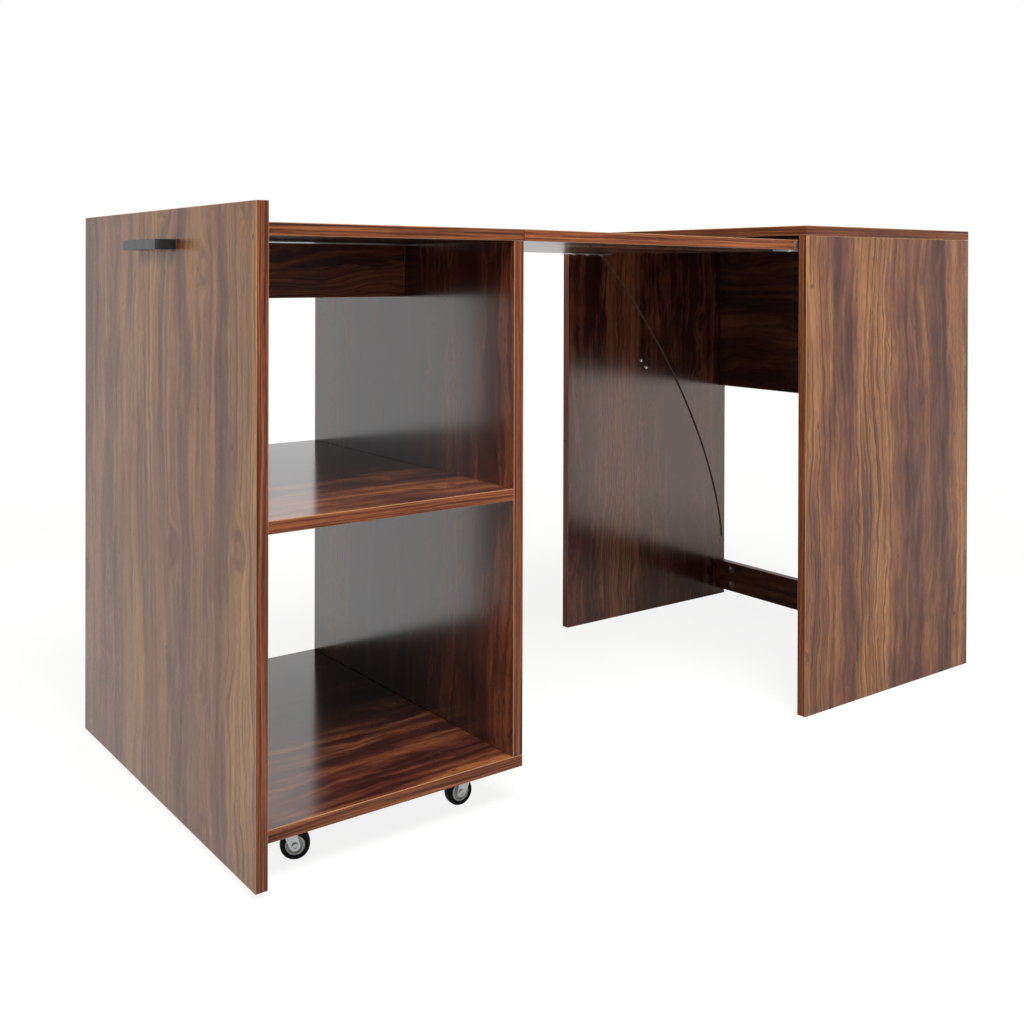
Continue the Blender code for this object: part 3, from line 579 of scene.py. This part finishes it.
def walnut_face(board, side):
    """Printed walnut planks with their grain along one axis of the board."""
    style = BOARDS[board]
    finish = FINISHES[FACE_FINISHES.get((board, side), "plain")]
    material = bpy.data.materials.new(f"{board}_{side}_face")
    graph = Graph(material)
    parts = graph.split(graph.place())
    across = graph.math("ADD", parts[cross_axis(board)], style.sheet)
    along = graph.math("ADD", parts[AXES[style.grain]], style.sheet)

    border = parts[cross_axis(board)]
    border = graph.drift(border, graph.grain(along, across, PLANK_SWING), PLANK_SWING_REACH)
    border = graph.drift(border, graph.grain(across, along, PLANK_FRAY), PLANK_FRAY_REACH)
    tone = plank_tone(graph, board, border)

    moved = graph.drift(across, graph.grain(across, along, GRAIN_WAVE), GRAIN_WAVE_REACH * style.wave)
    moved = graph.drift(moved, graph.grain(across, along, GRAIN_RIPPLE), GRAIN_RIPPLE_REACH)
    swirl = knots(graph, moved, along, SWIRLS)
    pin = knots(graph, moved, along, PINS)
    moved = graph.scaled(swirl, SWIRLS.push, moved)
    moved = graph.scaled(pin, PINS.push, moved)

    patch = graph.layer(moved, along, PATCH)
    shade = walnut_shade(graph, tone, patch, moved, along)
    shade = graph.scaled(shade, style.contrast, SHADE_MIDDLE * (1 - style.contrast))
    lines = walnut_lines(graph, tone, patch, across, moved, along)
    lines = graph.scaled(lines, min(style.contrast, 1.0))
    # The finish's multiplier darkens faces that lie in shade: painted shade
    colour = graph.ramp(shade, scaled_stops(WALNUT_STOPS, finish.dye))
    colour = graph.mix(lines, colour, scaled_colour(WALNUT_LINE, finish.dye))
    graph.surface({
        "Base Color": graph.mix(knot_colour(graph, swirl, pin), colour, KNOT_COLOUR),
        "Roughness": graph.scaled(lines, LINE_ROUGHNESS, finish.roughness),
        "IOR": finish.ior,
        "Specular Tint": finish.tint,
        "Normal": graph.bump(lines, finish.relief, -PORE_DEPTH),
    })
    return material


def walnut_edge(board):
    """Edge band with stripes along its length and a painted highlight, a lighter line, at each arris."""
    through, low, high = board_frame(board)
    material = bpy.data.materials.new(board + "_edge")
    graph = Graph(material)
    place = graph.place()
    level = graph.along_axis(place, through)
    # Only one of the other two lengths changes along an edge
    length = graph.along_axis(place, Vector((1.0, 1.0, 1.0)) - through)
    wander = graph.scaled(graph.grain(length, level, EDGE_WANDER), EDGE_WANDER_REACH, level)
    stripe = graph.grain(wander, length, EDGE_STRIPES)
    shade = graph.drift(stripe, graph.grain(level, length, EDGE_FIBRES), EDGE_FIBRE_SHARE)
    # Painted highlight: a lighter line along each arris
    half = (high - low) / 2
    reach = graph.math("ABSOLUTE", graph.math("SUBTRACT", level, (low + high) / 2))
    arris_highlight = graph.fit(reach, half * ARRIS_HIGHLIGHT_FROM, half * ARRIS_HIGHLIGHT_TO, 0.0, ARRIS_HIGHLIGHT_STRENGTH)
    # On the far panel this lightens the front edge, which lies in shade: painted light
    light = [EDGE_TONE_AND_PAINTED_LIGHT.get(board, 1.0)] * 3
    graph.surface({
        "Base Color": graph.mix(arris_highlight, graph.ramp(shade, scaled_stops(EDGE_STOPS, light)), ARRIS_HIGHLIGHT_COLOUR),
        "Roughness": graph.scaled(stripe, EDGE_ROUGHNESS_SPREAD, EDGE_ROUGHNESS),
        "IOR": EDGE_IOR,
        "Normal": graph.bump(shade, EDGE_RELIEF, PORE_DEPTH),
    })
    return material


def board_core():
    """Cut particle board inside grooves and holes."""
    material = bpy.data.materials.new("board_core")
    graph = Graph(material)
    chips = graph.speckle(graph.place(), CHIPS_PER_METRE, CHIP_DETAIL)
    graph.surface({
        "Base Color": graph.ramp(chips, CORE_STOPS),
        "Roughness": CORE_ROUGHNESS,
        "Normal": graph.bump(chips, CORE_RELIEF, CHIP_DEPTH),
    })
    return material


def coating(name):
    """A coated, plated or moulded surface with fine speckle in its colour, gloss and relief."""
    coat = COATS[name]
    material = bpy.data.materials.new(name)
    graph = Graph(material)
    place = graph.place()
    fine = graph.speckle(place, coat.speckle, SPECKLE_DETAIL, SPECKLE_ROUGHNESS)
    cloud = graph.speckle(place, CLOUDS_PER_METRE)
    blend = graph.scaled(fine, SPECKLE_SHARE, graph.scaled(cloud, CLOUD_SHARE))
    gloss = [coat.roughness * share for share in GLOSS_RANGE]
    graph.surface({
        "Base Color": graph.ramp(blend, tuple(zip(SPECKLE_RANGE, (coat.dark, coat.light)))),
        "Roughness": graph.fit(cloud, *CLOUD_RANGE, *gloss),
        "Metallic": coat.metallic,
        "IOR": coat.ior,
        "Normal": graph.bump(fine, coat.relief, SPECKLE_DEPTH),
    })
    return material


def dress_board(board, core):
    """Gives a board its faces, edge bands and cut core by where each face of its mesh lies."""
    mesh = NODES[board].data
    axis = AXES[BOARDS[board].through]
    through, bottom, top = board_frame(board)
    low, high = (np.array(corner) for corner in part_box(board))
    centres = np.zeros(len(mesh.polygons) * 3)
    normals = np.zeros(len(mesh.polygons) * 3)
    mesh.polygons.foreach_get("center", centres)
    mesh.polygons.foreach_get("normal", normals)
    centres = centres.reshape(-1, 3)
    facing = normals.reshape(-1, 3) @ np.array(through)
    level = centres @ np.array(through)
    depth = np.minimum(centres - low, high - centres)
    depth[:, axis] = np.minimum(level - bottom, top - level)
    on_face = (depth[:, axis] < SKIN_DEPTH) & (np.abs(facing) > FLAT_COSINE)
    in_core = depth.min(axis=1) > BEVEL_DEPTH
    low_slot, high_slot, edge_slot, core_slot = range(4)
    face_slot = np.where(facing < 0, low_slot, high_slot)
    slots = np.where(on_face, face_slot, np.where(in_core, core_slot, edge_slot))
    mesh.materials.clear()
    for material in (walnut_face(board, "low"), walnut_face(board, "high"), walnut_edge(board), core):
        mesh.materials.append(material)
    mesh.polygons.foreach_set("material_index", slots.astype(np.int32))
    mesh.update()


def dress_nodes(coats):
    """Gives every node of the frame its finish."""
    core = board_core()
    for name, obj in NODES.items():
        if name in BOARDS:
            dress_board(name, core)
            continue
        kind = "_".join(name.split("_")[:2])
        obj.data.materials.clear()
        obj.data.materials.append(coats[NODE_COATS.get(kind, "zinc_plate")])


def shade_rounded(mesh):
    mesh.shade_smooth()
    mesh.set_sharp_from_angle(angle=SHARP_ANGLE)


def finished_mesh(name, bm):
    """Mesh made of a bmesh, which is freed."""
    mesh = bpy.data.meshes.new(name)
    bm.to_mesh(mesh)
    bm.free()
    return mesh


def linked_object(name, data):
    """Object made of data, in the scene's collection."""
    obj = bpy.data.objects.new(name, data)
    bpy.context.scene.collection.objects.link(obj)
    return obj


def turned(name, profile, steps, closed=False):
    """Mesh turned about Z from (radius, height) points, which close on themselves or start and end on Z."""
    bm = bmesh.new()
    points = [bm.verts.new((radius, 0.0, height)) for radius, height in profile]
    pairs = list(zip(points, points[1:]))
    if closed:
        pairs.append((points[-1], points[0]))
    edges = [bm.edges.new(pair) for pair in pairs]
    bmesh.ops.spin(bm, geom=points + edges, axis=(0, 0, 1), cent=(0, 0, 0), angle=math.tau, steps=steps)
    bmesh.ops.remove_doubles(bm, verts=bm.verts, dist=MERGE_DISTANCE)
    bmesh.ops.recalc_face_normals(bm, faces=bm.faces)
    mesh = finished_mesh(name, bm)
    shade_rounded(mesh)
    return mesh


def corner_arc(centre, radius, start, end, steps):
    """Points of a round corner in a profile, with angles in degrees."""
    angles = [math.radians(start + (end - start) * i / steps) for i in range(steps + 1)]
    return [(centre[0] + radius * math.cos(a), centre[1] + radius * math.sin(a)) for a in angles]


def mirrored(half):
    """Profile's second half, which mirrors its first from the end back to the start."""
    return [(radius, -height) for radius, height in reversed(half)]


def dome(radius, height, base):
    """Profile of a low dome, from its top on Z to its rim at the base."""
    angles = np.linspace(0.0, math.pi / 2, DOME_POINTS)[1:]
    return [(0.0, base + height)] + [(math.sin(a) * radius, base + math.cos(a) * height) for a in angles]


def cross_recessed(mesh, head, top):
    """The mesh with a cross recess sunk from a level on its Z axis."""
    body = linked_object("recessed", mesh)
    for arms in ((head.reach, head.width), (head.width, head.reach)):
        bm = bmesh.new()
        bmesh.ops.create_cube(bm, size=1.0)
        bmesh.ops.scale(bm, vec=(*arms, 2 * head.depth), verts=bm.verts)
        bmesh.ops.translate(bm, vec=(0.0, 0.0, top), verts=bm.verts)
        cutter = linked_object("recess_arm", finished_mesh("recess_arm", bm))
        modifier = body.modifiers.new("recess", "BOOLEAN")
        modifier.object = cutter
        depsgraph = bpy.context.evaluated_depsgraph_get()
        body.data = bpy.data.meshes.new_from_object(body.evaluated_get(depsgraph))
        body.modifiers.clear()
        bpy.data.objects.remove(cutter)
    carved = body.data
    bpy.data.objects.remove(body)
    shade_rounded(carved)
    return carved


def screw_head(name, head):
    """Low domed head, seated on Z zero, with a cross recess."""
    profile = dome(head.radius, head.height, 0.0) + [(0.0, 0.0)]
    return cross_recessed(turned(name, profile, SCREW_STEPS), head, head.height)


def facing_turn(facing, spin=0.0):
    """Rotation that turns Z to a direction, after a turn about Z."""
    return Vector(facing).to_track_quat("Z", "Y").to_matrix().to_4x4() @ Matrix.Rotation(spin, 4, "Z")


def add_piece(name, mesh, material, body, replaced=()):
    """Adds a mesh as a piece of the object that rides on a body."""
    piece = linked_object(name, mesh)
    mesh.materials.clear()
    mesh.materials.append(material)
    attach(piece, body)
    if replaced:
        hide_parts(*replaced)


def add_screws(name, head_mesh, seats, material, body):
    """One piece made of screw heads, each at its seat and facing a direction."""
    bm = bmesh.new()
    for number, (at, facing) in enumerate(seats):
        first = len(bm.verts)
        bm.from_mesh(head_mesh)
        bm.verts.ensure_lookup_table()
        move = Matrix.Translation(at) @ facing_turn(facing, SCREW_TURN * number)
        bmesh.ops.transform(bm, matrix=move, verts=bm.verts[first:])
    mesh = finished_mesh(name, bm)
    shade_rounded(mesh)
    add_piece(name, mesh, material, body)


def nodes_named(start):
    return [name for name in NODES if name.startswith(start)]


def board_axes():
    """A point on the desk board's hinge axis, the way up through the board and the way out along it."""
    board_up = board_frame("desk_board")[0]
    return Vector(JOINTS["board_fold"]["pos_m"]), board_up, Vector((0.0, 1.0, 0.0)).cross(board_up)


def add_hinge_screws(zinc):
    """Three screws in each leaf of the hinges under the desk board."""
    head = screw_head("leaf_screw", LEAF_HEAD)
    axis_at, board_up, board_out = board_axes()
    on_cabinet = []
    on_board = []
    for leaf in nodes_named("hinge_board_leaf_"):
        low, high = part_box(leaf)
        for step in (-1, 0, 1):
            reach = LEAF_MIDDLE + LEAF_ZIGZAG * (1 - 2 * abs(step))
            screw_y = (low.y + high.y) / 2 + step * LEAF_SCREW_STEP
            on_axis = Vector((axis_at.x, screw_y, axis_at.z))
            on_board.append((on_axis + board_out * reach + board_up * LEAF_FACE, -board_up))
            on_cabinet.append((on_axis + Vector((-LEAF_FACE, 0.0, -reach)), (1.0, 0.0, 0.0)))
    add_screws("hinge_screws_cabinet", head, on_cabinet, zinc, "cabinet")
    add_screws("hinge_screws_board", head, on_board, zinc, "desk_board")


def add_bracket_screws(zinc):
    """A row of screws that holds each corner bracket to the desk board's underside."""
    head = screw_head("bracket_screw", BRACKET_HEAD)
    axis_at, board_up, board_out = board_axes()
    for side in ("near", "far"):
        low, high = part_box("board_bracket_" + side)
        first = low.x + BRACKET_SCREW_INSET - axis_at.x
        last = high.x - BRACKET_SCREW_INSET - axis_at.x
        on_axis = Vector((axis_at.x, (low.y + high.y) / 2, axis_at.z))
        reaches = np.linspace(first, last, BRACKET_SCREWS).tolist()
        seats = [(on_axis + board_out * reach + board_up * BRACKET_FACE, -board_up) for reach in reaches]
        add_screws("bracket_screws_" + side, head, seats, zinc, "desk_board")


def add_caster_screws(zinc):
    """A screw in each corner of the casters' plates."""
    head = screw_head("plate_screw", PLATE_HEAD)
    for node in nodes_named("caster_plate_"):
        low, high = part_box(node)
        corners = [
            (x, y, high.z - PLATE_T)
            for x in (low.x + PLATE_SCREW_INSET, high.x - PLATE_SCREW_INSET)
            for y in (low.y + PLATE_SCREW_INSET, high.y - PLATE_SCREW_INSET)
        ]
        seats = [(corner, (0.0, 0.0, -1.0)) for corner in corners]
        add_screws(node.replace("plate", "screws"), head, seats, zinc, "cabinet")


def add_cam_faces(zinc):
    """Cam locks with a cross recess in the face that shows in the rear rail."""
    for node in nodes_named("cam_lock_"):
        low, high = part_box(node)
        centre = (low + high) / 2
        face = Matrix.Translation((low.x, centre.y, centre.z)) @ facing_turn((-1.0, 0.0, 0.0), CAM_TURN)
        mesh = NODES[node].data.copy()
        mesh.transform(face.inverted())
        mesh = cross_recessed(mesh, CAM_RECESS, 0.0)
        mesh.transform(face)
        add_piece(node.replace("lock", "face"), mesh, zinc, "frame", [node])


def tyre_profile(wheel_r):
    """Tyre section: crowned tread, round shoulders and a bead set back beside the hub."""
    shoulder = (wheel_r - TYRE_ROUND - TYRE_CROWN, WHEEL_HALF_W - TYRE_ROUND)
    half = [(TYRE_INNER_R, WHEEL_HALF_W - BEAD_RELIEF), (BEAD_R, WHEEL_HALF_W - BEAD_RELIEF)]
    half += [(BEAD_R + BEAD_RELIEF, WHEEL_HALF_W)]
    half += corner_arc(shoulder, TYRE_ROUND, 90.0, 0.0, SHOULDER_STEPS)
    half += [(wheel_r - TYRE_CROWN / 4, shoulder[1] / 2)]
    return half + [(wheel_r, 0.0)] + mirrored(half)


def hub_profile():
    """Hub section: rim, dished web and boss with small fillets, round the axle's bore."""
    web_in = (HUB_BOSS_R + HUB_FILLET, HUB_WEB_HALF_T + HUB_FILLET)
    web_out = (HUB_RIM_R - HUB_FILLET, HUB_WEB_HALF_T + HUB_FILLET)
    half = [(HUB_R, HUB_RIM_HALF_W - HUB_FILLET / 2), (HUB_R - HUB_FILLET / 2, HUB_RIM_HALF_W)]
    half += [(HUB_RIM_R + HUB_FILLET / 2, HUB_RIM_HALF_W), (HUB_RIM_R, HUB_RIM_HALF_W - HUB_FILLET / 2)]
    half += corner_arc(web_out, HUB_FILLET, 0.0, -90.0, FILLET_STEPS)
    half += corner_arc(web_in, HUB_FILLET, -90.0, -180.0, FILLET_STEPS)
    half += [(HUB_BOSS_R, HUB_BOSS_HALF_W), (HUB_BORE_R, HUB_BOSS_HALF_W)]
    return half + mirrored(half)


def rivet_profile():
    """Axle rivet: a domed head at each end, with a turned dimple."""
    dimple_z = RIVET_END - RIVET_DIMPLE
    half = [(0.0, dimple_z), (RIVET_DIMPLE_R * RIVET_DIMPLE_FLOOR, dimple_z)]
    half += [(RIVET_DIMPLE_R, RIVET_END - RIVET_DIMPLE / 4), (RIVET_DIMPLE_R + RIVET_DIMPLE / 4, RIVET_END)]
    half += [(RIVET_CROWN_R, RIVET_END - RIVET_DIMPLE / 8), (RIVET_R, (RIVET_SEAT + RIVET_END) / 2)]
    half += [(RIVET_R, RIVET_SEAT), (AXLE_R, RIVET_SEAT)]
    return half + mirrored(half)


def add_wheels(coats):
    """Finer tyres, hubs and axle rivets in place of the casters' plain turned ones."""
    for joint_name, joint in JOINTS.items():
        if not joint_name.startswith("caster_spin_"):
            continue
        name = joint_name.removeprefix("caster_spin_")
        at = Vector(joint["pos_m"])
        sections = {
            "tyre": (tyre_profile(at.z), True, "tyre_rubber", joint["child"], "black_tyre"),
            "hub": (hub_profile(), True, "hub_plastic", joint["child"], "grey_hub"),
            "axle": (rivet_profile(), False, "zinc_plate", joint["parent"], "zinc_steel"),
        }
        for kind, (profile, closed, coat, body, slot) in sections.items():
            mesh = turned(f"{kind}_{name}", profile, ROUND_STEPS, closed)
            mesh.transform(Matrix.Translation(at) @ facing_turn(joint["axis"]))
            add_piece(f"{kind}_{name}", mesh, coats[coat], body, [f"caster_{kind}_{name}"])


def add_shown_screw(node, screw, coats):
    """Domed, cross-recessed screw in place of a plain one, with its crown where the plain head ends."""
    low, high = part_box(node)
    half = (high - low) / 2
    crown = (low + high) / 2 + Vector([way * size for way, size in zip(screw.facing, half)])
    length = 2 * abs(half.dot(screw.facing))
    radius = half.z
    head = Head(radius, SHOWN_HEIGHT, radius * SHOWN_REACH, radius * SHOWN_WIDTH, SHOWN_DEPTH)
    shank_r = radius * SHANK_SHARE
    shank = [(shank_r, -head.height), (shank_r, -length), (0.0, -length)]
    profile = dome(radius, head.height, -head.height) + shank
    mesh = cross_recessed(turned(node + "_fine", profile, SCREW_STEPS), head, 0.0)
    mesh.transform(Matrix.Translation(crown) @ facing_turn(screw.facing, SCREW_TURN))
    add_piece(node + "_fine", mesh, coats[screw.coat], screw.body, [node])


def add_shown_screws(coats):
    """Screws on the far panel's inner face and behind the handle."""
    for kind, screw in SHOWN_SCREWS.items():
        for end in screw.ends:
            add_shown_screw(f"{kind}_{end}", screw, coats)


def build_camera():
    """Camera at the photograph's place, with its horizon kept by a shift."""
    yaw, pitch, roll = (math.radians(a) for a in (CAMERA_YAW, CAMERA_PITCH, CAMERA_ROLL))
    forward = Vector((math.sin(yaw) * math.cos(pitch), math.cos(yaw) * math.cos(pitch), math.sin(pitch)))
    level_right = Vector((math.cos(yaw), -math.sin(yaw), 0.0))
    level_up = level_right.cross(forward)
    right = level_right * math.cos(roll) + level_up * math.sin(roll)
    up = right.cross(forward)
    data = bpy.data.cameras.new("photo_camera")
    data.sensor_width = SENSOR_MM
    data.lens = FOCAL_PIXELS * SENSOR_MM / PHOTO_SIZE
    data.shift_y = (HORIZON_ROW - PHOTO_SIZE / 2) / PHOTO_SIZE
    camera = linked_object("photo_camera", data)
    turn = Matrix((right, up, -forward)).transposed().to_4x4()
    camera.matrix_world = Matrix.Translation(CAMERA_AT) @ turn
    bpy.context.scene.camera = camera


def floor_paper():
    """White paper that keeps the object's shadow: it glows for the camera, and mirrors see it too."""
    material = bpy.data.materials.new("floor_paper")
    graph = Graph(material)
    path = graph.node("ShaderNodeLightPath").outputs
    colour = graph.mix(path["Is Camera Ray"], FLOOR_BOUNCE, FLOOR_SEEN)
    diffuse = graph.node("ShaderNodeBsdfDiffuse", {"Color": colour})
    glow = graph.node("ShaderNodeEmission", {"Color": WHITE, "Strength": 1.0})
    away = graph.node("ShaderNodeVectorMath", {0: graph.place()}, operation="LENGTH").outputs["Value"]
    seen = graph.fit(away, FLOOR_NEAR, FLOOR_FAR, FLOOR_GLOW_NEAR)
    seen = graph.math("MULTIPLY", path["Is Camera Ray"], seen)
    aside = graph.node("ShaderNodeVectorMath", {0: graph.place(), 1: LEG_ROOM_AT}, operation="DISTANCE")
    mirrors = graph.fit(aside.outputs["Value"], LEG_ROOM_NEAR, LEG_ROOM_FAR, LEG_ROOM_GLOW)
    share = graph.math("MAXIMUM", seen, graph.math("MULTIPLY", path["Is Glossy Ray"], mirrors))
    share = graph.math("MAXIMUM", share, path["Is Transmission Ray"])
    blend = graph.node("ShaderNodeMixShader", {0: share, 1: diffuse.outputs[0], 2: glow.outputs[0]})
    graph.node("ShaderNodeOutputMaterial", {"Surface": blend.outputs[0]})
    return material


def build_floor():
    """Flat floor far past the picture's edges."""
    bm = bmesh.new()
    bmesh.ops.create_grid(bm, x_segments=1, y_segments=1, size=FLOOR_HALF)
    floor = linked_object("floor", finished_mesh("floor", bm))
    floor.data.materials.append(floor_paper())


def build_world():
    """Soft light from all round, which looks white to the camera and, but for a flag, in reflections."""
    world = bpy.data.worlds.new("studio")
    bpy.context.scene.world = world
    graph = Graph(world)
    path = graph.node("ShaderNodeLightPath").outputs
    seen = graph.math("MAXIMUM", path["Is Camera Ray"], path["Is Glossy Ray"])
    seen = graph.math("MAXIMUM", seen, path["Is Transmission Ray"])
    side, _, height = graph.split(graph.node("ShaderNodeTexCoord").outputs["Generated"])
    flag = graph.math("MULTIPLY", graph.fit(side, *FLAG_SIDE), graph.fit(height, *FLAG_HEIGHT))
    flag = graph.math("MULTIPLY", flag, path["Is Glossy Ray"])
    brightness = graph.scaled(flag, FLAG_LEVEL - 1, 1.0)
    light = graph.node("ShaderNodeBackground", {"Color": ROOM_COLOUR, "Strength": ROOM_LIGHT})
    white = graph.node("ShaderNodeBackground", {"Color": WHITE, "Strength": brightness})
    blend = graph.node("ShaderNodeMixShader", {0: seen, 1: light.outputs[0], 2: white.outputs[0]})
    graph.node("ShaderNodeOutputWorld", {"Surface": blend.outputs[0]})


def build_lights():
    """Softboxes, which reflections don't see."""
    for name, softbox in SOFTBOXES.items():
        data = bpy.data.lights.new(name, "AREA")
        data.shape = "RECTANGLE"
        data.size, data.size_y = softbox.size
        data.energy = softbox.watts
        data.color = LAMP_COLOUR
        lamp = linked_object(name, data)
        lamp.location = softbox.at
        aim = Vector(softbox.target) - Vector(softbox.at)
        lamp.rotation_euler = aim.to_track_quat("-Z", "Y").to_euler()
        lamp.visible_glossy = False


COATINGS = {name: coating(name) for name in COATS}
build_camera()
dress_nodes(COATINGS)
add_hinge_screws(COATINGS["zinc_plate"])
add_bracket_screws(COATINGS["bright_zinc"])
add_caster_screws(COATINGS["zinc_plate"])
add_cam_faces(COATINGS["zinc_plate"])
add_wheels(COATINGS)
add_shown_screws(COATINGS)
build_floor()
build_world()
build_lights()
bpy.context.scene.view_settings.view_transform = "Standard"
